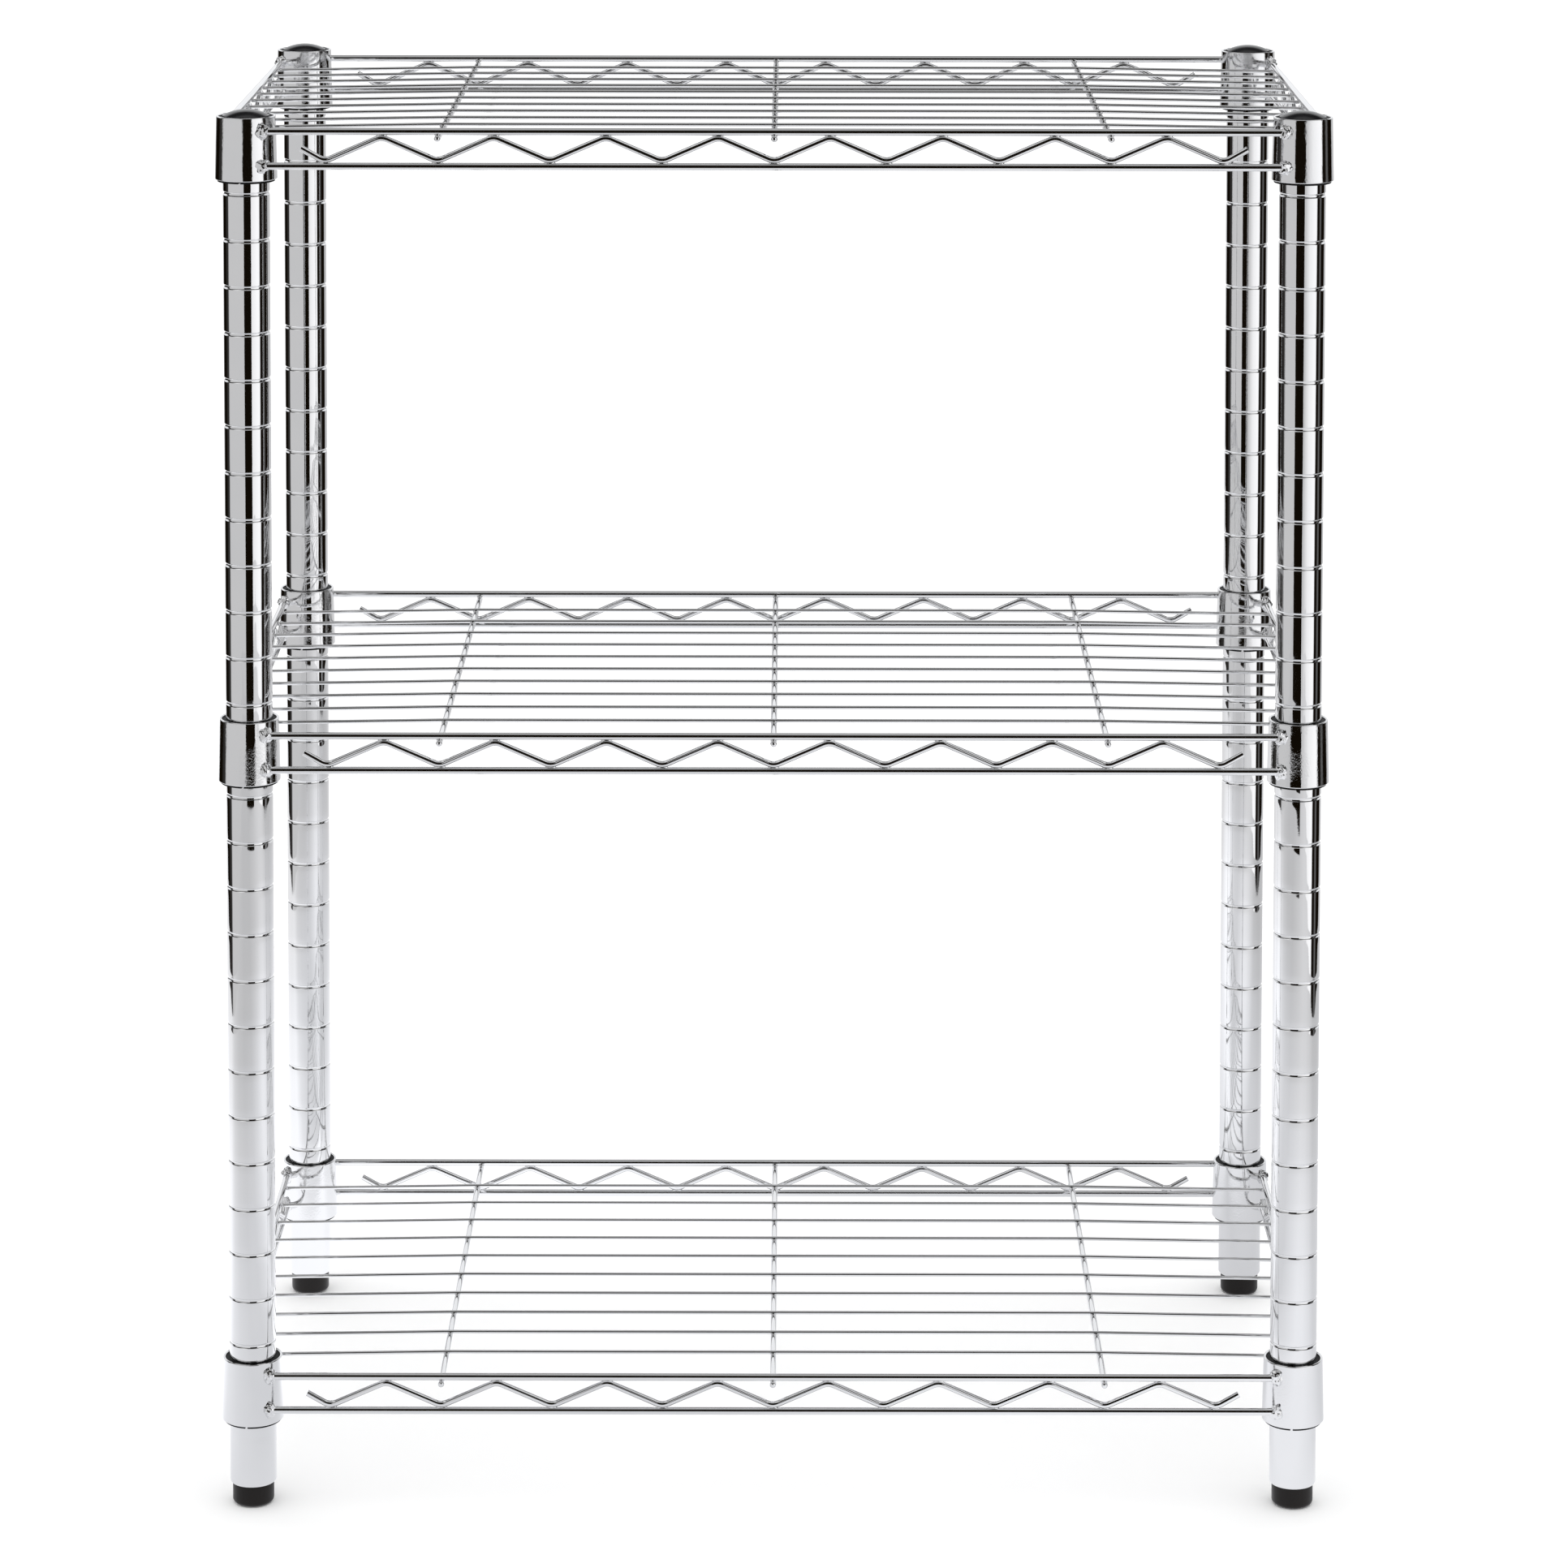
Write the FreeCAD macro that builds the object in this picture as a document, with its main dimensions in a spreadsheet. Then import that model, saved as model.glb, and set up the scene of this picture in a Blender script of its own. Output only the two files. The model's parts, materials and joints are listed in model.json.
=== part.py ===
import FreeCAD, Part

import math
import os
import re

import Sketcher

# A free-standing shelving unit: four grooved tubular posts carry three welded wire shelves on split
# tapered sleeves, and stand on screw-adjustable feet.
#
# Frame: +Z up, the front faces -Y, +X to the right. The origin is on the floor, at the centre of the
# rectangle of posts. All sizes are in millimetres.

SIZES = {
    # posts: tubes with a rolled-in lower end and a ring groove at every step of height
    "post_spacing_x": 572.0,
    "post_spacing_y": 322.0,
    "post_radius": 12.7,
    "post_wall": 1.0,
    "post_bottom": 11.5,
    "post_top": 766.3,
    "post_lip_radius": 1.6,
    "groove_pitch": 25.4,
    "groove_count": 28,
    "groove_radius": 1.5,
    "groove_depth": 0.55,
    "groove_lowest": 65.5,
    # the groove that holds each shelf, counted up from the lowest
    "bottom_step": 0,
    "middle_step": 14,
    "top_step": 27,
    # caps: a domed disc on the post's end, with a hollow stem inside the tube
    "cap_edge_height": 1.5,
    "cap_dome_height": 3.2,
    "cap_stem_length": 14.0,
    "cap_stem_wall": 1.6,
    "cap_bore_gap": 0.05,
    # collars: tapered cups, widest at the bottom, measured from the groove that holds them
    "collar_rise": 16.5,
    "collar_drop": 18.0,
    "collar_radius_low": 16.9,
    "collar_radius_high": 16.1,
    "collar_wall": 1.3,
    "collar_edge_round": 0.5,
    # sleeves: two half shells clipped into a groove and wedged inside a collar
    "sleeve_rise": 15.5,
    "sleeve_drop": 19.2,
    "sleeve_radius_low": 15.55,
    "sleeve_radius_high": 14.75,
    "sleeve_post_gap": 0.05,
    "sleeve_split": 1.3,
    "sleeve_turn": -8.0,
    "ridge_height": 0.45,
    "ridge_half_crest": 0.4,
    "ridge_half_root": 0.9,
    # straight frame rods, above and below the groove's height, outside the line of post centres
    "rod_radius": 2.0,
    "rod_offset": 13.0,
    "rod_rise": 9.3,
    "rod_drop": 9.6,
    "rod_end_inset": 11.2,
    # zigzag truss wires between the rods
    "truss_radius": 1.75,
    "truss_pitch": 60.5,
    "truss_bend": 7.5,
    "truss_free_end": 13.0,
    "truss_free_rise": 0.2,
    # cross ribs under the deck, and the deck wires
    "rib_radius": 1.75,
    "rib_spacing": 181.5,
    "rib_tip": 2.9,
    "rib_tip_round": 1.4,
    "deck_radius": 1.0,
    "deck_count": 10,
    "deck_spacing": 30.0,
    "deck_bend": 60.0,
    "weld_sink": 0.15,
    # feet: a pad that turns on the round head of a threaded stud, and the insert the stud screws into
    "pad_radius": 11.3,
    "pad_height": 11.3,
    "pad_edge_round": 2.4,
    "stud_radius": 4.0,
    "stud_length": 30.0,
    "stud_head_radius": 6.5,
    "stud_head_bottom": 4.0,
    "stud_head_top": 7.5,
    "stud_tip_chamfer": 1.0,
    "thread_pitch": 1.5,
    "thread_depth": 0.7,
    "thread_count": 18,
    "running_gap": 0.06,
    "insert_length": 15.0,
    "insert_bottom": 14.0,
    "insert_bore_gap": 0.05,
}

SHELVES = ("bottom", "middle", "top")
CORNERS = {
    "front_left": ("-post_spacing_x / 2", "-post_spacing_y / 2"),
    "front_right": ("post_spacing_x / 2", "-post_spacing_y / 2"),
    "back_left": ("-post_spacing_x / 2", "post_spacing_y / 2"),
    "back_right": ("post_spacing_x / 2", "post_spacing_y / 2"),
}

# Whole periods of the zigzag on each side of its middle.
LONG_TRUSS_PERIODS = 4
SIDE_TRUSS_PERIODS = 2

# Sizes worked out from the driving ones. A shelf's heights count from its groove.
POST_BORE = "(post_radius - post_wall)"
SLEEVE_BORE = "(post_radius + sleeve_post_gap)"
STUD_BORE = "(stud_radius + running_gap)"
STUD_TOP = "(pad_height + stud_length)"
HALF_LENGTH = "(post_spacing_x / 2 + rod_offset)"
HALF_DEPTH = "(post_spacing_y / 2 + rod_offset)"
TRUSS_CREST = "(rod_rise - rod_radius - truss_radius + weld_sink)"
TRUSS_ROOT = "(-rod_drop + rod_radius + truss_radius - weld_sink)"
RIB_HEIGHT = "(rod_rise - rod_radius - rib_radius + weld_sink)"
RIB_REACH = f"({HALF_DEPTH} + rib_tip)"
DECK_HEIGHT = "(rod_rise - rod_radius + deck_radius)"
DECK_END_HEIGHT = "(rod_rise - rod_radius - deck_radius + weld_sink)"
DECK_REACH = "((deck_count - 1) * deck_spacing / 2)"

ALIAS = re.compile(r"\b[a-z]+(?:_[a-z]+)+\b")
START, END, CENTRE = 1, 2, 3
ORIGIN_GEOMETRY, VERTICAL_AXIS = -1, -2
UP = FreeCAD.Vector(0, 0, 1)
LEVEL_TOLERANCE = 0.01
SMALLEST_CUT = 0.01

doc = FreeCAD.newDocument("wire_shelving_unit")
sheet = doc.addObject("Spreadsheet::Sheet", "Sizes")
for row, (alias, size) in enumerate(SIZES.items(), start=1):
    sheet.set(f"A{row}", alias)
    sheet.set(f"B{row}", str(size))
    sheet.setAlias(f"B{row}", alias)
doc.recompute()

sub_parts = []


# Expressions and bodies


def bound(text):
    """The expression with every size name pointed at its cell."""
    return ALIAS.sub(r"Sizes.\g<0>", text)


def value(text):
    """What an expression comes to now."""
    result = sheet.evalExpression(bound(text))
    return float(getattr(result, "Value", result))


def bind(target, prop, text):
    target.setExpression(prop, bound(text))


def shelf_height(shelf):
    """The height of the groove that holds a shelf."""
    return f"(groove_lowest + {shelf}_step * groove_pitch)"


def new_body(label, x="0", y="0", z="0"):
    """A sub-part: a body with its own label, placed by three expressions."""
    body = doc.addObject("PartDesign::Body", label)
    body.Label = label
    body.AllowCompound = True
    for axis, text in (("x", x), ("y", y), ("z", z)):
        bind(body, f"Placement.Base.{axis}", text)
    sub_parts.append(body)
    return body


def origin_feature(body, role):
    return next(item for item in body.Origin.OriginFeatures if item.Role == role)


# Sketches


def new_sketch(body, name, plane, offset="0"):
    """A sketch on one of the body's own origin planes, moved along the plane's normal."""
    sketch = body.newObject("Sketcher::SketchObject", f"{body.Name}_{name}")
    sketch.AttachmentSupport = [(origin_feature(body, plane), "")]
    sketch.MapMode = "FlatFace"
    bind(sketch, "AttachmentOffset.Base.z", offset)
    return sketch


def point(x, y):
    return FreeCAD.Vector(value(x), value(y), 0)


def pin(sketch, geometry, end, x, y):
    """Holds one point of the sketch at two expressions."""
    for kind, text in (("DistanceX", x), ("DistanceY", y)):
        index = sketch.addConstraint(
            Sketcher.Constraint(kind, ORIGIN_GEOMETRY, START, geometry, end, value(text))
        )
        bind(sketch, f"Constraints[{index}]", text)


def set_radius(sketch, geometry, radius):
    index = sketch.addConstraint(Sketcher.Constraint("Radius", geometry, value(radius)))
    bind(sketch, f"Constraints[{index}]", radius)


def add_circle(sketch, x, y, radius):
    geometry = sketch.addGeometry(Part.Circle(point(x, y), UP, value(radius)))
    pin(sketch, geometry, CENTRE, x, y)
    set_radius(sketch, geometry, radius)


def arc_between(first, last, radius):
    """An arc of under half a turn that bulges to the left of the way from first to last."""
    chord = last - first
    half = chord.Length / 2
    left = FreeCAD.Vector(-chord.y, chord.x, 0).normalize()
    bulge = radius - math.sqrt(radius**2 - half**2)
    return Part.Arc(first, (first + last) / 2 + left * bulge, last)


def add_outline(sketch, corners, rounded=None):
    """A closed outline. rounded gives an edge's arc radius by the number of its first corner."""
    rounded = rounded or {}
    places = [point(x, y) for x, y in corners]
    edges = []
    for number, first in enumerate(places):
        last = places[(number + 1) % len(places)]
        if number in rounded:
            radius = rounded[number]
            geometry = sketch.addGeometry(arc_between(first, last, value(radius)))
            set_radius(sketch, geometry, radius)
            # The sketch stores an arc anticlockwise, which is from its last corner to its first.
            edges.append((geometry, END, START))
        else:
            geometry = sketch.addGeometry(Part.LineSegment(first, last))
            edges.append((geometry, START, END))
    for number, (geometry, _, last_end) in enumerate(edges):
        after, first_end, _ = edges[(number + 1) % len(edges)]
        sketch.addConstraint(
            Sketcher.Constraint("Coincident", geometry, last_end, after, first_end)
        )
    for (geometry, first_end, _), (x, y) in zip(edges, corners):
        pin(sketch, geometry, first_end, x, y)


def add_wire_line(sketch, bends, radius, end, start=None):
    """A wire's centre line: straight runs and bends, each tangent to the next.

    A bend is its centre's two expressions and its turn, +1 to the left or -1 to the right. With no
    start point the line begins at the lowest point of the first bend.
    """
    size = value(radius)
    stops = [(point(x, y), turn * size) for x, y, turn in bends]
    stops.append((point(*end), 0.0))
    if start is not None:
        stops.insert(0, (point(*start), 0.0))

    headings = []
    runs = []
    for (near, near_radius), (far, far_radius) in zip(stops, stops[1:]):
        between = far - near
        heading = math.atan2(between.y, between.x)
        heading -= math.asin((far_radius - near_radius) / between.Length)
        left = FreeCAD.Vector(-math.sin(heading), math.cos(heading), 0)
        run = Part.LineSegment(near - left * near_radius, far - left * far_radius)
        headings.append(heading)
        runs.append(sketch.addGeometry(run))

    first_bend = 0 if start is None else 1
    for number, (x, y, turn) in enumerate(bends, start=first_bend):
        arriving_heading = headings[number - 1] if number else 0.0
        towards_wire = -math.pi / 2 * turn
        angles = sorted((arriving_heading + towards_wire, headings[number] + towards_wire))
        circle = Part.Circle(point(x, y), UP, size)
        arc = sketch.addGeometry(Part.ArcOfCircle(circle, *angles))
        entry, leave = (START, END) if turn > 0 else (END, START)
        if number:
            joint = Sketcher.Constraint("Tangent", runs[number - 1], END, arc, entry)
        else:
            joint = Sketcher.Constraint("PointOnObject", arc, entry, VERTICAL_AXIS)
        sketch.addConstraint(joint)
        sketch.addConstraint(Sketcher.Constraint("Tangent", arc, leave, runs[number], START))
        pin(sketch, arc, CENTRE, x, y)
        set_radius(sketch, arc, radius)
    if start is not None:
        pin(sketch, runs[0], START, *start)
    pin(sketch, runs[-1], END, *end)


# Features


def add_feature(body, kind, name):
    """A new feature that becomes the body's tip."""
    feature = body.newObject(f"PartDesign::{kind}", f"{body.Name}_{name}")
    body.Tip = feature
    return feature


def revolve(body, sketch, kind="Revolution"):
    """Turns a sketch fully round the Z axis, to add or, as a Groove, to cut."""
    feature = add_feature(body, kind, kind.lower())
    feature.Profile = sketch
    feature.ReferenceAxis = (origin_feature(body, "Z_Axis"), [""])
    feature.Angle = 360
    return feature


def cut_rings(body, sketch, count, length):
    """Cuts a ring groove and repeats it upwards."""
    before = body.Tip
    groove = revolve(body, sketch, "Groove")
    rings = add_feature(body, "LinearPattern", "rings")
    rings.Originals = [groove]
    rings.Direction = (origin_feature(body, "Z_Axis"), [""])
    bind(rings, "Length", length)
    bind(rings, "Occurrences", count)
    doc.recompute()
    if before.Shape.Volume - rings.Shape.Volume < SMALLEST_CUT:
        raise RuntimeError(f"{body.Label}: the ring grooves cut nothing")


def repeat_body(body, kind, name):
    """A mirror or pattern of everything in the body so far, which has to be computed first."""
    doc.recompute()
    repeat = add_feature(body, kind, name)
    repeat.TransformMode = "Whole shape"
    return repeat


def mirror_body(body, plane):
    mirror = repeat_body(body, "Mirrored", f"mirror_{plane[:2].lower()}")
    mirror.MirrorPlane = (origin_feature(body, plane), [""])


def round_ends(body, radius, axis, levels):
    """Rounds every edge that lies flat across an axis at one of the levels."""
    doc.recompute()
    base = body.Tip
    heights = [value(level) for level in levels]
    names = []
    for number, edge in enumerate(base.Shape.Edges, start=1):
        low, high = (getattr(edge.BoundBox, f"{axis}{limit}") for limit in ("Min", "Max"))
        across = high - low < LEVEL_TOLERANCE
        if across and any(abs(low - height) < LEVEL_TOLERANCE for height in heights):
            names.append(f"Edge{number}")
    fillet = add_feature(body, "Fillet", "rounded")
    fillet.Base = (base, names)
    bind(fillet, "Radius", radius)


def sweep_wire(body, along, offset, section_height, radius, line):
    """Sweeps a round wire from the middle of the shelf outwards, and mirrors it to full length.

    line draws half the centre line in its sketch. The wire runs along X or Y, at the offset to the
    front or to the right.
    """
    if along == "X":
        path_plane, section_plane, section_side = "XZ_Plane", "YZ_Plane", f"-{offset}"
    else:
        path_plane, section_plane, section_side = "YZ_Plane", "XZ_Plane", offset
    path = new_sketch(body, "path", path_plane, offset)
    line(path)
    section = new_sketch(body, "section", section_plane)
    add_circle(section, section_side, section_height, radius)
    doc.recompute()
    pipe = add_feature(body, "AdditivePipe", "pipe")
    pipe.Profile = section
    pipe.Spine = (path, [f"Edge{number + 1}" for number in range(len(path.Shape.Edges))])
    mirror_body(body, section_plane)


# Posts and feet


def make_post(corner, x, y):
    body = new_body(f"post_{corner}", x, y)
    wall = new_sketch(body, "wall", "XZ_Plane")
    lip_bore = f"{POST_BORE} - post_lip_radius + post_wall"
    add_outline(
        wall,
        [
            ("post_radius - post_lip_radius", "post_bottom"),
            (lip_bore, "post_bottom + post_wall"),
            (POST_BORE, "post_bottom + post_lip_radius"),
            (POST_BORE, "post_top"),
            ("post_radius", "post_top"),
            ("post_radius", "post_bottom + post_lip_radius"),
        ],
        rounded={5: "post_lip_radius"},
    )
    revolve(body, wall)
    ring = new_sketch(body, "ring", "XZ_Plane")
    ring_radius = "post_radius + groove_radius - groove_depth"
    add_circle(ring, ring_radius, "groove_lowest", "groove_radius")
    cut_rings(body, ring, "groove_count", "(groove_count - 1) * groove_pitch")


def make_cap(corner, x, y):
    body = new_body(f"post_cap_{corner}", x, y, "post_top")
    section = new_sketch(body, "section", "XZ_Plane")
    stem_radius = f"({POST_BORE} - cap_bore_gap)"
    stem_bore = f"({stem_radius} - cap_stem_wall)"
    add_outline(
        section,
        [
            ("0", "cap_edge_height + cap_dome_height"),
            ("post_radius", "cap_edge_height"),
            ("post_radius", "0"),
            (stem_radius, "0"),
            (stem_radius, "-cap_stem_length"),
            (stem_bore, "-cap_stem_length"),
            (stem_bore, "0"),
            ("0", "0"),
        ],
        rounded={0: "((post_radius ^ 2 + cap_dome_height ^ 2) / (2 * cap_dome_height))"},
    )
    revolve(body, section)


def make_foot_insert(corner, x, y):
    """The plug in the post's lower end, bored for the stud."""
    body = new_body(f"foot_insert_{corner}", x, y, "insert_bottom")
    section = new_sketch(body, "section", "XZ_Plane")
    rim = f"({POST_BORE} - insert_bore_gap)"
    add_outline(
        section,
        [(STUD_BORE, "0"), (STUD_BORE, "insert_length"), (rim, "insert_length"), (rim, "0")],
    )
    revolve(body, section)


def make_foot_stud(corner, x, y):
    """A stud with a flat round head. Its thread is a stack of rings."""
    body = new_body(f"foot_stud_{corner}", x, y)
    section = new_sketch(body, "section", "XZ_Plane")
    add_outline(
        section,
        [
            ("0", "stud_head_bottom"),
            ("stud_head_radius", "stud_head_bottom"),
            ("stud_head_radius", "stud_head_top"),
            ("stud_radius", "stud_head_top"),
            ("stud_radius", f"{STUD_TOP} - stud_tip_chamfer"),
            ("stud_radius - stud_tip_chamfer", STUD_TOP),
            ("0", STUD_TOP),
        ],
    )
    revolve(body, section)
    valley = new_sketch(body, "thread_valley", "XZ_Plane")
    first = "(pad_height + thread_pitch)"
    add_outline(
        valley,
        [
            ("stud_radius - thread_depth", first),
            ("stud_radius + thread_depth / 4", f"{first} - thread_pitch / 2"),
            ("stud_radius + thread_depth / 4", f"{first} + thread_pitch / 2"),
        ],
    )
    cut_rings(body, valley, "thread_count", "(thread_count - 1) * thread_pitch")


def make_foot_pad(corner, x, y):
    """The plastic foot, which holds the stud's head in a close-fitting hollow."""
    body = new_body(f"foot_pad_{corner}", x, y)
    section = new_sketch(body, "section", "XZ_Plane")
    hollow = "(stud_head_radius + running_gap)"
    add_outline(
        section,
        [
            ("0", "0"),
            ("0", "stud_head_bottom - running_gap"),
            (hollow, "stud_head_bottom - running_gap"),
            (hollow, "stud_head_top + running_gap"),
            (STUD_BORE, "stud_head_top + running_gap"),
            (STUD_BORE, "pad_height"),
            ("pad_radius", "pad_height"),
            ("pad_radius", "pad_edge_round"),
            ("pad_radius - pad_edge_round", "0"),
        ],
        rounded={7: "pad_edge_round"},
    )
    revolve(body, section)


# Shelves


def make_collar(shelf, corner, x, y):
    body = new_body(f"{shelf}_collar_{corner}", x, y, shelf_height(shelf))
    section = new_sketch(body, "section", "XZ_Plane")
    add_outline(
        section,
        [
            ("collar_radius_low - collar_wall", "-collar_drop"),
            ("collar_radius_high - collar_wall", "collar_rise"),
            ("collar_radius_high", "collar_rise"),
            ("collar_radius_low", "-collar_drop"),
        ],
    )
    revolve(body, section)
    round_ends(body, "collar_edge_round", "Z", ["collar_rise", "-collar_drop"])


def make_sleeve(shelf, corner, x, y):
    body = new_body(f"{shelf}_sleeve_halves_{corner}", x, y, shelf_height(shelf))
    bind(body, "Placement.Rotation.Angle", "sleeve_turn")
    section = new_sketch(body, "section", "XZ_Plane")
    crest = f"({SLEEVE_BORE} - ridge_height)"
    add_outline(
        section,
        [
            (SLEEVE_BORE, "-sleeve_drop"),
            (SLEEVE_BORE, "-ridge_half_root"),
            (crest, "-ridge_half_crest"),
            (crest, "ridge_half_crest"),
            (SLEEVE_BORE, "ridge_half_root"),
            (SLEEVE_BORE, "sleeve_rise"),
            ("sleeve_radius_high", "sleeve_rise"),
            ("sleeve_radius_low", "-sleeve_drop"),
        ],
    )
    revolve(body, section)
    slot = new_sketch(body, "slot", "XY_Plane")
    half_split = "(sleeve_split / 2)"
    reach = "(sleeve_radius_low * 2)"
    add_outline(
        slot,
        [
            (f"-{half_split}", f"-{reach}"),
            (half_split, f"-{reach}"),
            (half_split, reach),
            (f"-{half_split}", reach),
        ],
    )
    split = add_feature(body, "Pocket", "split")
    split.Profile = slot
    split.Type = "ThroughAll"
    split.Midplane = True
    doc.recompute()
    if len(split.Shape.Solids) != 2:
        raise RuntimeError(f"{body.Label}: the sleeve isn't in two halves")


def make_frame_rods(shelf):
    """Upper and lower straight rods on all four sides, with their ends in the collars' walls."""
    body = new_body(f"{shelf}_frame_rods", z=shelf_height(shelf))
    sides = (
        ("long", "YZ_Plane", HALF_DEPTH, "post_spacing_x"),
        ("side", "XZ_Plane", HALF_LENGTH, "post_spacing_y"),
    )
    for name, plane, offset, spacing in sides:
        ends = new_sketch(body, f"{name}_ends", plane)
        for side in (offset, f"-{offset}"):
            for height in ("rod_rise", "-rod_drop"):
                add_circle(ends, side, height, "rod_radius")
        rods = add_feature(body, "Pad", f"{name}_rods")
        rods.Profile = ends
        rods.Midplane = True
        bind(rods, "Length", f"{spacing} - 2 * rod_end_inset")


def make_trusses(shelf, name, along, offset, periods):
    """The two zigzag wires on opposite sides of a shelf."""

    def zigzag(path):
        bends = []
        for number in range(2 * periods + 1):
            low = number % 2 == 0
            height = f"{TRUSS_ROOT} + truss_bend" if low else f"{TRUSS_CREST} - truss_bend"
            bends.append((f"{number} * truss_pitch / 2", height, 1 if low else -1))
        end = (f"{periods} * truss_pitch + truss_free_end", "truss_free_rise")
        add_wire_line(path, bends, "truss_bend", end)

    body = new_body(f"{shelf}_{name}_trusses", z=shelf_height(shelf))
    sweep_wire(body, along, offset, TRUSS_ROOT, "truss_radius", zigzag)
    mirror_body(body, "XZ_Plane" if along == "X" else "YZ_Plane")


def make_cross_ribs(shelf):
    """Ribs from front to back, under the deck wires and the long upper rods."""
    body = new_body(f"{shelf}_cross_ribs", z=shelf_height(shelf))
    ends = new_sketch(body, "ends", "XZ_Plane")
    for x in ("-rib_spacing", "0", "rib_spacing"):
        add_circle(ends, x, RIB_HEIGHT, "rib_radius")
    ribs = add_feature(body, "Pad", "ribs")
    ribs.Profile = ends
    ribs.Midplane = True
    bind(ribs, "Length", f"2 * {RIB_REACH}")
    round_ends(body, "rib_tip_round", "Y", [RIB_REACH, f"-{RIB_REACH}"])


def make_deck_wires(shelf):
    """Parallel wires, level across the ribs and lower at both ends, under the side rods."""

    def level_then_down(path):
        bend = ("rib_spacing", f"{DECK_HEIGHT} - deck_bend", -1)
        add_wire_line(
            path, [bend], "deck_bend", (HALF_LENGTH, DECK_END_HEIGHT), start=("0", DECK_HEIGHT)
        )

    body = new_body(f"{shelf}_deck_wires", z=shelf_height(shelf))
    sweep_wire(body, "X", DECK_REACH, DECK_HEIGHT, "deck_radius", level_then_down)
    wires = repeat_body(body, "LinearPattern", "wires")
    wires.Direction = (origin_feature(body, "Y_Axis"), [""])
    bind(wires, "Length", f"2 * {DECK_REACH}")
    bind(wires, "Occurrences", "deck_count")


def build():
    for corner, (x, y) in CORNERS.items():
        make_post(corner, x, y)
        make_cap(corner, x, y)
        make_foot_insert(corner, x, y)
        make_foot_stud(corner, x, y)
        make_foot_pad(corner, x, y)
    for shelf in SHELVES:
        for corner, (x, y) in CORNERS.items():
            make_collar(shelf, corner, x, y)
            make_sleeve(shelf, corner, x, y)
        make_frame_rods(shelf)
        make_trusses(shelf, "long", "X", HALF_DEPTH, LONG_TRUSS_PERIODS)
        make_trusses(shelf, "side", "Y", HALF_LENGTH, SIDE_TRUSS_PERIODS)
        make_cross_ribs(shelf)
        make_deck_wires(shelf)
    doc.recompute()


def check():
    """Stops before anything is written if an object or a sub-part's shape is bad."""
    for item in doc.Objects:
        if "Invalid" in item.State or "Error" in item.State:
            raise RuntimeError(f"{item.Label}: {item.State}")
    for body in sub_parts:
        if body.Shape.isNull() or not body.Shape.isValid() or not body.Shape.Solids:
            raise RuntimeError(f"{body.Label}: no valid solid")


def export():
    os.makedirs("parts", exist_ok=True)
    for body in sub_parts:
        body.Shape.exportStep(f"parts/{body.Label}.step")


build()
check()
export()
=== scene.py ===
import json
import math
import random

import bmesh
import bpy
from mathutils import Matrix, Vector, noise as vector_noise

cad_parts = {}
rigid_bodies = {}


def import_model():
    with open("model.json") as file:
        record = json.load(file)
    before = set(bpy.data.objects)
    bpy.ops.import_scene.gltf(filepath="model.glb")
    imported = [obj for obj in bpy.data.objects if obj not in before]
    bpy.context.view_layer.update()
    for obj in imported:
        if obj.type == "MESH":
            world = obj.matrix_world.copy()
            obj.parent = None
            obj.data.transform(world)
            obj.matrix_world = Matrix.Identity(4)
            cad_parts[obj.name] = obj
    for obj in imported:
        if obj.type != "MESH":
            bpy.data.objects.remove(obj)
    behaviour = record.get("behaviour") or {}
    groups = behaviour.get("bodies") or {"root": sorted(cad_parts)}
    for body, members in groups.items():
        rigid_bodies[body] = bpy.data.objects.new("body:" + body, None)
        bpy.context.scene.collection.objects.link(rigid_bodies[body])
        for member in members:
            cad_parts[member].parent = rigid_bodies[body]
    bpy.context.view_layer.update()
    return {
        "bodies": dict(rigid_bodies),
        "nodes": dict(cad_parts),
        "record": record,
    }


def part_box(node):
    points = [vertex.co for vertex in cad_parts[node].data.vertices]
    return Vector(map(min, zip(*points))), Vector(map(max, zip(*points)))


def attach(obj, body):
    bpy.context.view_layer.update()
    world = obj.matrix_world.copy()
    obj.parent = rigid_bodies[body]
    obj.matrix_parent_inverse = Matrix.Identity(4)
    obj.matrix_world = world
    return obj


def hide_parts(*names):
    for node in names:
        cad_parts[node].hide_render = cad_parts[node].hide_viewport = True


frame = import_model()

MM = 0.001
SHELVES = ("bottom", "middle", "top")
CORNERS = ("front_left", "front_right", "back_left", "back_right")


def centre_of(node):
    low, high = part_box(node)
    return (low + high) / 2


# Node helpers


def new_material(name):
    material = bpy.data.materials.new(name)
    material.use_nodes = True
    tree = material.node_tree
    tree.nodes.clear()
    return material, tree


def add_node(tree, kind, **settings):
    """A node with its properties and, by socket name, its input values set."""
    node = tree.nodes.new(kind)
    for key, setting in settings.items():
        if hasattr(node, key):
            setattr(node, key, setting)
        else:
            node.inputs[key.replace("_", " ")].default_value = setting
    return node


def link(tree, source, target):
    tree.links.new(source, target)


def math_node(tree, operation, first, second=None):
    node = add_node(tree, "ShaderNodeMath", operation=operation)
    for index, term in enumerate((first, second)):
        if term is None:
            continue
        if isinstance(term, (int, float)):
            node.inputs[index].default_value = term
        else:
            link(tree, term, node.inputs[index])
    return node.outputs[0]


def ramp(tree, factor, stops, interpolation="LINEAR"):
    """A colour ramp. Each stop is its position and a grey level or a colour."""
    node = add_node(tree, "ShaderNodeValToRGB")
    node.color_ramp.interpolation = interpolation
    elements = node.color_ramp.elements
    while len(elements) < len(stops):
        elements.new(0.5)
    for element, (position, shade) in zip(elements, stops):
        element.position = position
        rgb = (shade,) * 3 if isinstance(shade, (int, float)) else shade
        element.color = (*rgb, 1.0)
    link(tree, factor, node.inputs["Fac"])
    return node.outputs["Color"]


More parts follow.
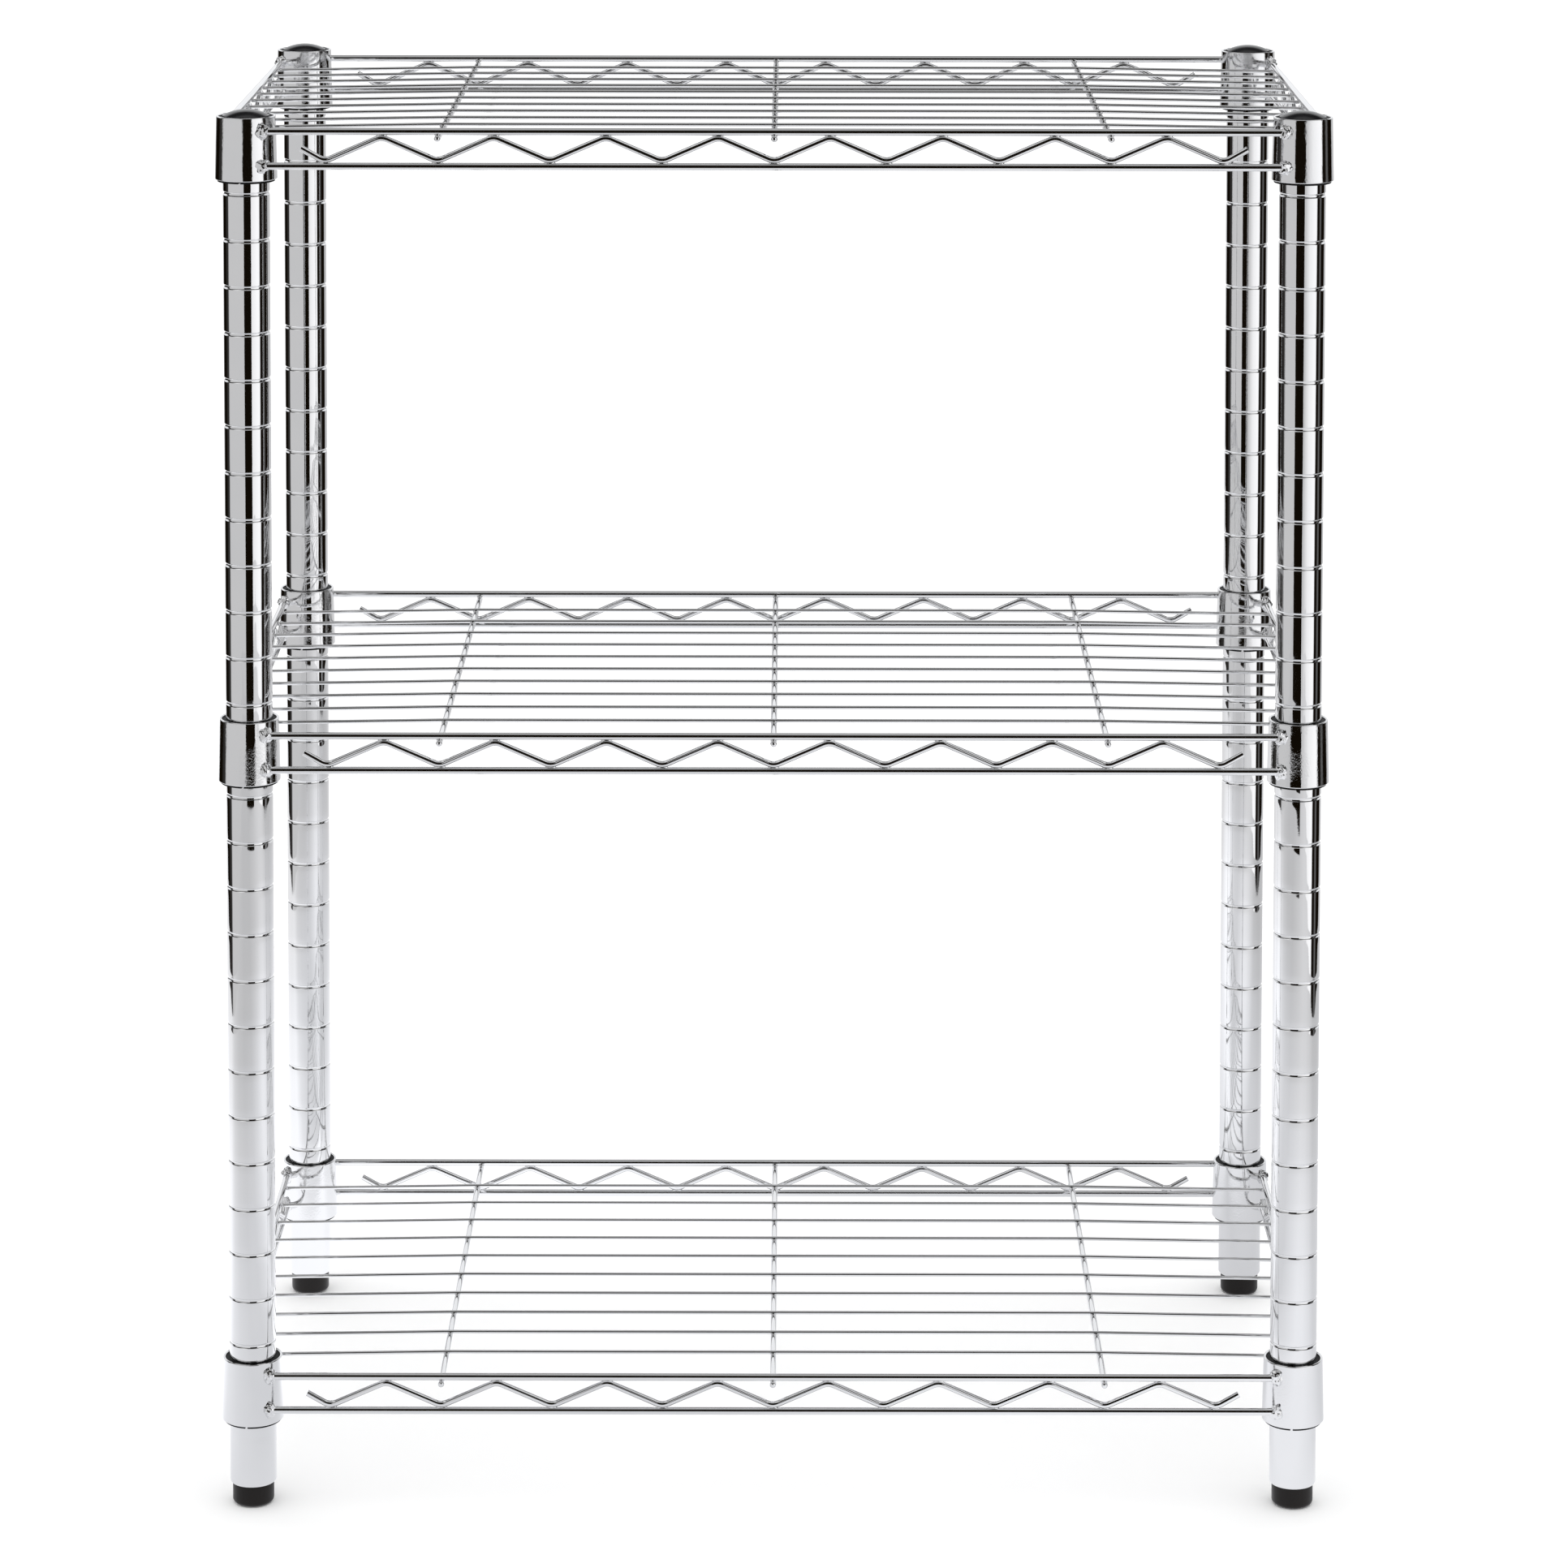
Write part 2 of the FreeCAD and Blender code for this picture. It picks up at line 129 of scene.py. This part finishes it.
def noise(tree, coordinates, scale, detail=3.0, roughness=0.5):
    node = add_node(tree, "ShaderNodeTexNoise", Scale=scale, Detail=detail, Roughness=roughness)
    link(tree, coordinates, node.inputs["Vector"])
    return node.outputs["Fac"]


def stretched(tree, coordinates, factors):
    node = add_node(tree, "ShaderNodeMapping")
    node.inputs["Scale"].default_value = factors
    link(tree, coordinates, node.inputs["Vector"])
    return node.outputs["Vector"]


def object_coordinates(tree):
    return add_node(tree, "ShaderNodeTexCoord").outputs["Object"]


def finish_material(tree, surface):
    output = add_node(tree, "ShaderNodeOutputMaterial")
    link(tree, surface.outputs[0], output.inputs["Surface"])


def bump(tree, height, strength, distance, normal=None):
    node = add_node(tree, "ShaderNodeBump", Strength=strength, Distance=distance)
    link(tree, height, node.inputs["Height"])
    if normal is not None:
        link(tree, normal, node.inputs["Normal"])
    return node.outputs["Normal"]


# Materials


def rolled_shoulders(tree, place):
    """The tube's slight dip towards each rolled groove, as a height."""
    split_place = add_node(tree, "ShaderNodeSeparateXYZ")
    link(tree, place, split_place.inputs[0])
    steps = math_node(tree, "DIVIDE", math_node(tree, "SUBTRACT", split_place.outputs["Z"], LOWEST_GROOVE), GROOVE_PITCH)
    offset = math_node(tree, "MULTIPLY", math_node(tree, "SUBTRACT", steps, math_node(tree, "ROUND", steps)), GROOVE_PITCH)
    reach = math_node(tree, "DIVIDE", offset, SHOULDER_REACH)
    fade = math_node(tree, "EXPONENT", math_node(tree, "MULTIPLY", math_node(tree, "MULTIPLY", reach, reach), -1.0))
    return math_node(tree, "MULTIPLY", fade, -SHOULDER_DEPTH)


GROOVE_PITCH = 25.4 * MM
LOWEST_GROOVE = 65.5 * MM
SHOULDER_REACH = 2.8 * MM
SHOULDER_DEPTH = 0.08 * MM


def chrome(name, brushed, pits, tone=0.80, grooved=False):
    """Chrome plate: bright, with fine polishing lines, faint haze and, where asked, a pitted base."""
    material, tree = new_material(name)
    place = object_coordinates(tree)
    lines = noise(tree, stretched(tree, place, brushed), 1.0, 4.0, 0.6)
    haze = noise(tree, place, 22.0, 4.0, 0.55)
    grain = noise(tree, place, 900.0, 3.0, 0.6)
    surface = add_node(tree, "ShaderNodeBsdfPrincipled", Metallic=1.0)
    shade = ramp(tree, haze, [(0.3, (tone * 0.96, tone * 0.965, tone * 0.975)), (0.7, (tone, tone, tone * 1.005))])
    link(tree, shade, surface.inputs["Base Color"])
    mixed = math_node(tree, "MULTIPLY", lines, haze)
    gloss = ramp(tree, mixed, [(0.1, 0.025), (0.55, 0.085)])
    link(tree, gloss, surface.inputs["Roughness"])
    normal = bump(tree, lines, 0.06, 0.0002)
    if grooved:
        normal = bump(tree, rolled_shoulders(tree, place), 1.0, 1.0, normal)
    patches = ramp(tree, noise(tree, place, 55.0, 2.0, 0.5), [(0.42, 0.12), (0.62, 1.0)])
    pitted = math_node(tree, "MULTIPLY", grain, patches)
    link(tree, bump(tree, pitted, pits, 0.0002, normal), surface.inputs["Normal"])
    finish_material(tree, surface)
    return material


def moulded_plastic(name, shade, gloss, low_rough, high_rough, grain_scale, grain_strength):
    material, tree = new_material(name)
    place = object_coordinates(tree)
    mottle = noise(tree, place, 60.0, 4.0, 0.6)
    grain = noise(tree, place, grain_scale, 2.0, 0.5)
    surface = add_node(tree, "ShaderNodeBsdfPrincipled")
    surface.inputs["Specular IOR Level"].default_value = gloss
    dark = tuple(part * 0.75 for part in shade)
    light = tuple(part * 1.35 for part in shade)
    link(tree, ramp(tree, mottle, [(0.3, dark), (0.7, light)]), surface.inputs["Base Color"])
    link(tree, ramp(tree, mottle, [(0.3, low_rough), (0.7, high_rough)]), surface.inputs["Roughness"])
    link(tree, bump(tree, grain, grain_strength, 0.0002), surface.inputs["Normal"])
    finish_material(tree, surface)
    return material


tube_chrome = chrome("chrome_tube", (260.0, 260.0, 14.0), 0.015, grooved=True)
collar_chrome = chrome("chrome_collar", (120.0, 120.0, 60.0), 0.40)
wire_chrome = chrome("chrome_wire", (90.0, 90.0, 90.0), 0.03)
cap_plastic = moulded_plastic("cap_plastic", (0.008, 0.008, 0.009), 0.32, 0.10, 0.20, 500.0, 0.05)
sleeve_plastic = moulded_plastic("sleeve_plastic", (0.004, 0.004, 0.004), 0.15, 0.40, 0.55, 900.0, 0.2)
foot_plastic = moulded_plastic("foot_plastic", (0.0065, 0.0050, 0.0045), 0.22, 0.34, 0.50, 900.0, 0.25)
zinc = chrome("zinc_stud", (80.0, 80.0, 80.0), 0.2, 0.62)
weld_chrome = chrome("chrome_weld", (150.0, 150.0, 150.0), 0.30)

SLOT_MATERIALS = {
    "chrome_tube": tube_chrome,
    "chrome_collar": collar_chrome,
    "chrome_wire": wire_chrome,
    "cap_plastic": cap_plastic,
    "sleeve_plastic": sleeve_plastic,
    "insert_plastic": sleeve_plastic,
    "foot_plastic": foot_plastic,
    "zinc_stud": zinc,
}

for part in frame["record"]["subparts"]:
    node = frame["nodes"][part["node"]]
    node.data.materials.clear()
    node.data.materials.append(SLOT_MATERIALS[part["material_slot"]])


# Welds


def blob(mesh, centre, size, detail, roughness, draw):
    """Adds a lumpy drop of weld metal: a sphere stretched to size and dented at random."""
    drop = bmesh.new()
    bmesh.ops.create_icosphere(drop, subdivisions=detail, radius=1.0)
    turn = Matrix.Rotation(draw.uniform(0, 2 * math.pi), 3, Vector((0.3, 0.5, 0.8)).normalized())
    shift = Vector([draw.uniform(0, 50) for _ in range(3)])
    for vertex in drop.verts:
        place = turn @ vertex.co
        coarse = vector_noise.noise(place * 1.3 + shift)
        fine = vector_noise.noise(place * 3.1 - shift)
        swell = 1.0 + roughness * (coarse + 0.6 * fine)
        vertex.co = Vector(centre) + Vector([part * swell * reach for part, reach in zip(vertex.co, size)])
    for face in drop.faces:
        face.smooth = True
    drop.to_mesh(scratch)
    drop.free()
    mesh.from_mesh(scratch)


def add_piece(name, mesh, body, material):
    data = bpy.data.meshes.new(name)
    mesh.to_mesh(data)
    mesh.free()
    piece = bpy.data.objects.new(name, data)
    bpy.context.scene.collection.objects.link(piece)
    data.materials.append(material)
    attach(piece, body)
    return piece


def post_axes():
    return [centre_of(f"post_{corner}") for corner in CORNERS]


def seat_on_collars(beads):
    """Ends the beads inside the collars' walls, clear of the sleeves."""
    axes = [axis.xy for axis in post_axes()]
    for vertex in beads.verts:
        axis = min(axes, key=lambda place: (vertex.co.xy - place).length)
        offset = vertex.co.xy - axis
        if offset.length < BEAD_SEAT:
            vertex.co.xy = axis + offset.normalized() * BEAD_SEAT


def add_corner_welds(shelf, draw):
    """A bead where each rod meets a collar: four at each corner."""
    low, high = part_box(f"{shelf}_frame_rods")
    line_x = high.x - ROD_RADIUS
    line_y = high.y - ROD_RADIUS
    beads = bmesh.new()
    for axis in post_axes():
        side_x = math.copysign(1, axis.x)
        side_y = math.copysign(1, axis.y)
        for height in (low.z + ROD_RADIUS, high.z - ROD_RADIUS):
            long_end = (axis.x - side_x * BEAD_INSET, side_y * line_y, height)
            side_end = (side_x * line_x, axis.y - side_y * BEAD_INSET, height)
            blob(beads, long_end, BEAD_SIZE, 4, 0.34, draw)
            blob(beads, side_end, (BEAD_SIZE[1], BEAD_SIZE[0], BEAD_SIZE[2]), 4, 0.34, draw)
    seat_on_collars(beads)
    add_piece(f"{shelf}_corner_welds", beads, f"{shelf}_shelf", weld_chrome)


def add_spot_welds(shelf, draw):
    """The small fillets where truss bends, ribs and deck wires touch what carries them."""
    low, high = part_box(f"{shelf}_frame_rods")
    line_x = high.x - ROD_RADIUS
    line_y = high.y - ROD_RADIUS
    floor = low.z + 2 * ROD_RADIUS
    ceiling = high.z - 2 * ROD_RADIUS
    spots = bmesh.new()
    for periods, fixed, along_x in ((LONG_PERIODS, line_y, True), (SIDE_PERIODS, line_x, False)):
        for number in range(-2 * periods, 2 * periods + 1):
            level = floor if number % 2 == 0 else ceiling
            along = number * TRUSS_PITCH / 2
            for side in (-fixed, fixed):
                if along_x:
                    blob(spots, (along, side, level), TRUSS_SPOT, 3, 0.22, draw)
                else:
                    turned = (TRUSS_SPOT[1], TRUSS_SPOT[0], TRUSS_SPOT[2])
                    blob(spots, (side, along, level), turned, 3, 0.22, draw)
    deck = [(number - (DECK_COUNT - 1) / 2) * DECK_SPACING for number in range(DECK_COUNT)]
    for x in (-RIB_SPACING, 0.0, RIB_SPACING):
        for y in deck + [-line_y, line_y]:
            blob(spots, (x, y, ceiling), RIB_SPOT, 2, 0.2, draw)
    for x in (-line_x, line_x):
        for y in deck:
            blob(spots, (x, y, ceiling), RIB_SPOT, 2, 0.2, draw)
    add_piece(f"{shelf}_spot_welds", spots, f"{shelf}_shelf", weld_chrome)


ROD_RADIUS = 2.0 * MM
BEAD_INSET = 10.4 * MM
BEAD_SIZE = (3.6 * MM, 3.4 * MM, 4.1 * MM)
BEAD_SEAT = 15.6 * MM
TRUSS_SPOT = (3.0 * MM, 1.15 * MM, 0.8 * MM)
RIB_SPOT = (1.5 * MM, 1.5 * MM, 0.6 * MM)
TRUSS_PITCH = 60.5 * MM
LONG_PERIODS = 4
SIDE_PERIODS = 2
RIB_SPACING = 181.5 * MM
DECK_SPACING = 30.0 * MM
DECK_COUNT = 10

scratch = bpy.data.meshes.new("scratch")
for number, shelf in enumerate(SHELVES):
    draw = random.Random(number)
    add_corner_welds(shelf, draw)
    add_spot_welds(shelf, draw)
bpy.data.meshes.remove(scratch)


# Threaded studs

THREAD_PITCH = 1.5 * MM
THREAD_DEPTH = 0.75 * MM
STUD_RADIUS = 4.0 * MM
HEAD_RADIUS = 6.5 * MM
HEAD_HEIGHT = 3.5 * MM
EDGE = 0.5 * MM
THREAD_RISE = 0.125 * MM
THREAD_SIDES = 64


def thread_radius(height, turn):
    """A rolled thread's profile: flat-bottomed valleys and narrow, slightly rounded crests."""
    phase = (height / THREAD_PITCH - turn) % 1.0
    slope = min(1.0, max(0.0, (abs(2 * phase - 1) - 0.12) / 0.72))
    return STUD_RADIUS - THREAD_DEPTH * slope


def add_stud(corner):
    low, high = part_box(f"foot_stud_{corner}")
    x, y = centre_of(f"foot_stud_{corner}").xy
    head_top = low.z + HEAD_HEIGHT
    neck_top = head_top + 2 * THREAD_PITCH
    tip = high.z - STUD_CHAMFER
    rings = [
        (low.z, HEAD_RADIUS - EDGE), (low.z + EDGE / 2, HEAD_RADIUS - EDGE / 4), (low.z + EDGE, HEAD_RADIUS),
        (head_top - EDGE, HEAD_RADIUS), (head_top, HEAD_RADIUS - EDGE), (head_top, STUD_RADIUS - THREAD_DEPTH),
        (neck_top, STUD_RADIUS - THREAD_DEPTH),
    ]
    steps = int((tip - neck_top) / THREAD_RISE)
    mesh = bmesh.new()
    rows = []
    for height, radius in rings:
        rows.append([(height, radius)] * THREAD_SIDES)
    for step in range(1, steps + 1):
        height = neck_top + step * THREAD_RISE
        grow = min(1.0, step * THREAD_RISE / THREAD_PITCH)
        row = []
        for side in range(THREAD_SIDES):
            full = thread_radius(height, side / THREAD_SIDES)
            core = STUD_RADIUS - THREAD_DEPTH
            row.append((height, core + (full - core) * grow))
        rows.append(row)
    rows.append([(high.z, STUD_RADIUS - THREAD_DEPTH - STUD_CHAMFER / 2)] * THREAD_SIDES)
    loops = []
    for row in rows:
        loop = []
        for side, (height, radius) in enumerate(row):
            turn = 2 * math.pi * side / THREAD_SIDES
            loop.append(mesh.verts.new((x + radius * math.cos(turn), y + radius * math.sin(turn), height)))
        loops.append(loop)
    for below, above in zip(loops, loops[1:]):
        for side in range(THREAD_SIDES):
            after = (side + 1) % THREAD_SIDES
            mesh.faces.new((below[side], below[after], above[after], above[side])).smooth = True
    mesh.faces.new(list(reversed(loops[0])))
    mesh.faces.new(loops[-1])
    stud = add_piece(f"threaded_stud_{corner}", mesh, f"{corner}_foot_stud", zinc)
    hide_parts(f"foot_stud_{corner}")


STUD_CHAMFER = 1.0 * MM

for corner in CORNERS:
    add_stud(corner)


# Stage


def emission(tree, colour):
    glow = add_node(tree, "ShaderNodeEmission", Strength=1.0)
    link(tree, colour, glow.inputs["Color"])
    return glow.outputs[0]


def bearing(tree, x, y):
    """0 to 1 round the horizon: 0.5 towards the camera's side, more to the right."""
    angle = math_node(tree, "ARCTAN2", x, math_node(tree, "MULTIPLY", y, -1.0))
    return math_node(tree, "ADD", math_node(tree, "DIVIDE", angle, 2 * math.pi), 0.5)


def round_horizon(stops):
    return [((degrees + 180) / 360, shade) for degrees, shade in stops]


def split(tree, vector):
    parts = add_node(tree, "ShaderNodeSeparateXYZ")
    link(tree, vector, parts.inputs[0])
    return parts.outputs


def smooth_step(tree, value, start, end):
    step = add_node(tree, "ShaderNodeMapRange", interpolation_type="SMOOTHSTEP")
    link(tree, value, step.inputs["Value"])
    step.inputs["From Min"].default_value = start
    step.inputs["From Max"].default_value = end
    return step.outputs["Result"]


def mixed_shader(tree, factor, first, second):
    mix = add_node(tree, "ShaderNodeMixShader")
    link(tree, factor, mix.inputs[0])
    link(tree, first, mix.inputs[1])
    link(tree, second, mix.inputs[2])
    return mix


def mixed_colour(tree, factor, first, second):
    mix = add_node(tree, "ShaderNodeMix", data_type="RGBA", clamp_factor=False)
    for source, name in ((factor, "Factor"), (first, "A"), (second, "B")):
        if isinstance(source, tuple):
            mix.inputs[name].default_value = source
        else:
            link(tree, source, mix.inputs[name])
    return mix.outputs["Result"]


def make_dark_card():
    """What the chrome sees behind the camera: black, fading to grey towards its upper edge."""
    mesh = bpy.data.meshes.new("dark_card")
    (left, left_y, left_foot), (right, right_y, right_foot) = STEM_FEET
    stem = [(left, left_y, left_foot), (right, right_y, right_foot), (right, right_y, STEM_TOP), (left, left_y, STEM_TOP)]
    arm_foot = CARD_SHOULDER + CARD_SLOPE
    arms = [
        (left, CARD_SHOULDER), (right, CARD_SHOULDER), (CARD_WIDE, arm_foot),
        (CARD_WIDE, CARD_TOP), (-CARD_WIDE, CARD_TOP), (-CARD_WIDE, arm_foot),
    ]
    corners = stem + [(x, CARD_PLACE, z) for x, z in arms]
    mesh.from_pydata(corners, [], [tuple(range(len(stem))), tuple(range(len(stem), len(corners)))])
    card = bpy.data.objects.new("dark_card", mesh)
    bpy.context.scene.collection.objects.link(card)
    material, tree = new_material("dark_card")
    height = split(tree, add_node(tree, "ShaderNodeNewGeometry").outputs["Position"])[2]
    level = math_node(tree, "DIVIDE", height, CARD_TOP)
    shade = ramp(tree, level, [(0.0, (0.006, 0.004, 0.002)), (0.5, (0.007, 0.005, 0.003)), (0.72, 0.06), (1.0, 0.40)])
    output = add_node(tree, "ShaderNodeOutputMaterial")
    link(tree, emission(tree, shade), output.inputs["Surface"])
    mesh.materials.append(material)
    card.visible_camera = False
    card.visible_diffuse = False
    card.visible_shadow = False
    card.visible_transmission = False


CARD_PLACE = -1.6
# The card's stem stands at a slant, nearer on the left.
STEM_FEET = ((-0.42, -1.2, 0.132), (0.44, -1.53, 0.0))
STEM_TOP = 1.7
CARD_SHOULDER = 1.25
CARD_SLOPE = 0.5
CARD_WIDE = 1.25
CARD_TOP = 3.4

# The sweep of paper that reflections see stops here; beyond it they see the room's horizon.
PAPER_HALF_WIDTH = 1.17
PAPER_FRONT = -1.95
FLOOR_SIZE = 60.0
FLOOR_GAP = 0.2 * MM
# Painted light and shade on the paper as reflections see it, by degrees round from the camera's side.
PAPER_PAINTED_SHADES = (
    (-180, 0.85), (-150, 0.95), (-128, 1.05), (-92, 1.05), (-76, 0.84), (-58, 0.74), (-35, 0.68), (-10, 0.68),
    (10, 0.76), (35, 0.88), (50, 0.88), (66, 0.80), (80, 0.68), (110, 0.64), (140, 0.70), (180, 0.85),
)
# The paper's painted light is brighter within the first of these distances, and falls off to the second.
PAINTED_LIGHT_NEAR = (0.55, 1.25)


def follow_lowest_foot(floor):
    """Lowers the floor with the foot that is screwed out furthest, so that the unit stands on it."""
    lowest = floor.driver_add("location", 2).driver
    lowest.type = "MIN"
    for corner in CORNERS:
        drop = lowest.variables.new()
        drop.name = corner
        drop.type = "TRANSFORMS"
        drop.targets[0].id = frame["bodies"][f"{corner}_foot_stud"]
        drop.targets[0].transform_type = "LOC_Z"


def make_floor():
    mesh = bpy.data.meshes.new("floor")
    reach = FLOOR_SIZE / 2
    outline = [(-reach, -reach), (reach, -reach), (reach, reach), (-reach, reach)]
    mesh.from_pydata([(x, y, -FLOOR_GAP) for x, y in outline], [], [(0, 1, 2, 3)])
    floor = bpy.data.objects.new("floor", mesh)
    bpy.context.scene.collection.objects.link(floor)
    follow_lowest_foot(floor)
    material, tree = new_material("floor")
    paper = add_node(tree, "ShaderNodeBsdfDiffuse")
    paper.inputs["Color"].default_value = (0.88, 0.88, 0.88, 1)
    away = add_node(tree, "ShaderNodeBsdfTransparent")
    x, y, z = split(tree, add_node(tree, "ShaderNodeNewGeometry").outputs["Position"])
    # Reflections see the paper as a glow in painted light and shade: shaded by bearing, and brighter near the unit.
    shade = ramp(tree, bearing(tree, x, y), round_horizon(PAPER_PAINTED_SHADES))
    distance = math_node(tree, "SQRT", math_node(tree, "ADD", math_node(tree, "MULTIPLY", x, x), math_node(tree, "MULTIPLY", y, y)))
    painted_light_fall_off = smooth_step(tree, distance, *PAINTED_LIGHT_NEAR)
    painted_floor_light = add_node(tree, "ShaderNodeMix", data_type="RGBA", blend_type="MULTIPLY")
    painted_floor_light.inputs["Factor"].default_value = 1.0
    link(tree, shade, painted_floor_light.inputs["A"])
    link(tree, mixed_colour(tree, painted_light_fall_off, (1.18, 1.19, 1.23, 1), (0.93, 0.93, 0.945, 1)), painted_floor_light.inputs["B"])
    wide = math_node(tree, "GREATER_THAN", math_node(tree, "ABSOLUTE", x), PAPER_HALF_WIDTH)
    near = math_node(tree, "LESS_THAN", y, PAPER_FRONT)
    outside = math_node(tree, "MAXIMUM", wide, near)
    seen = mixed_shader(tree, outside, emission(tree, painted_floor_light.outputs["Result"]), away.outputs[0])
    glossy = add_node(tree, "ShaderNodeLightPath").outputs["Is Glossy Ray"]
    finish_material(tree, mixed_shader(tree, glossy, paper.outputs[0], seen.outputs[0]))
    mesh.materials.append(material)


# What chrome sees around the horizon, by degrees round from the camera's side, positive to the right.
HORIZON = (
    (-180, 0.60), (-152, 0.56), (-146, 0.0), (-116, 0.0), (-113, 0.02), (-97, 0.03), (-91, 0.68),
    (12, 0.68), (20, 0.86), (34, 1.08), (60, 1.22), (70, 1.2), (74, 0.0), (88, 0.004), (91, 0.12), (99, 0.12),
    (103, 0.0), (129, 0.0), (134, 0.60), (180, 0.65),
)


# The room is dim between these heights on a unit sphere, and lit above them.
DIM_FROM = (0.46, 0.60)
DIM_UP_TO = (0.74, 0.86)


def make_world():
    world = bpy.data.worlds.new("studio")
    bpy.context.scene.world = world
    world.use_nodes = True
    tree = world.node_tree
    tree.nodes.clear()
    x, y, z = split(tree, add_node(tree, "ShaderNodeTexCoord").outputs["Generated"])
    band = mixed_colour(
        tree, ramp(tree, bearing(tree, x, y), round_horizon(HORIZON)), (0.006, 0.004, 0.002, 1), (1.0, 1.0, 1.01, 1)
    )
    behind = math_node(tree, "MULTIPLY", smooth_step(tree, z, 0.0, 0.04), smooth_step(tree, y, 0.25, 0.55))
    low = mixed_colour(tree, behind, band, (1.0, 1.01, 1.03, 1))
    dim = mixed_colour(tree, smooth_step(tree, z, *DIM_FROM), low, (0.02, 0.018, 0.016, 1))
    overhead = ramp(tree, math_node(tree, "ABSOLUTE", x), [(0.2, 0.5), (0.45, 1.1)])
    seen = mixed_colour(tree, smooth_step(tree, z, *DIM_UP_TO), dim, overhead)
    ray = add_node(tree, "ShaderNodeLightPath")
    background = add_node(tree, "ShaderNodeBackground", Strength=1.0)
    colour = mixed_colour(tree, ray.outputs["Is Glossy Ray"], (1.35, 1.35, 1.35, 1), seen)
    link(tree, colour, background.inputs["Color"])
    output = add_node(tree, "ShaderNodeOutputWorld")
    link(tree, background.outputs[0], output.inputs["Surface"])


make_floor()
make_world()
make_dark_card()


# Camera

HOME = (0.0085, -2.8113, 1.1005)
TILT = (86.336, -0.075, 0.081)
LENS = 113.14
SHIFT = -0.6179


def make_camera():
    data = bpy.data.cameras.new("camera")
    camera = bpy.data.objects.new("camera", data)
    bpy.context.scene.collection.objects.link(camera)
    bpy.context.scene.camera = camera
    data.sensor_width = 36.0
    data.lens = LENS
    data.clip_start = 0.1
    data.clip_end = 100.0
    camera.location = HOME
    camera.rotation_euler = [math.radians(angle) for angle in TILT]
    # The lens shift holds only where the camera stands here, so that any other view is centred.
    driver = data.driver_add("shift_y").driver
    driver.type = "SCRIPTED"
    place = driver.variables.new()
    place.name = "place"
    place.type = "SINGLE_PROP"
    place.targets[0].id = camera
    place.targets[0].data_path = "location[1]"
    driver.expression = f"{SHIFT} if place < {HOME[1] + 0.001} and place > {HOME[1] - 0.001} else 0"


make_camera()
bpy.context.scene.view_settings.view_transform = "Standard"
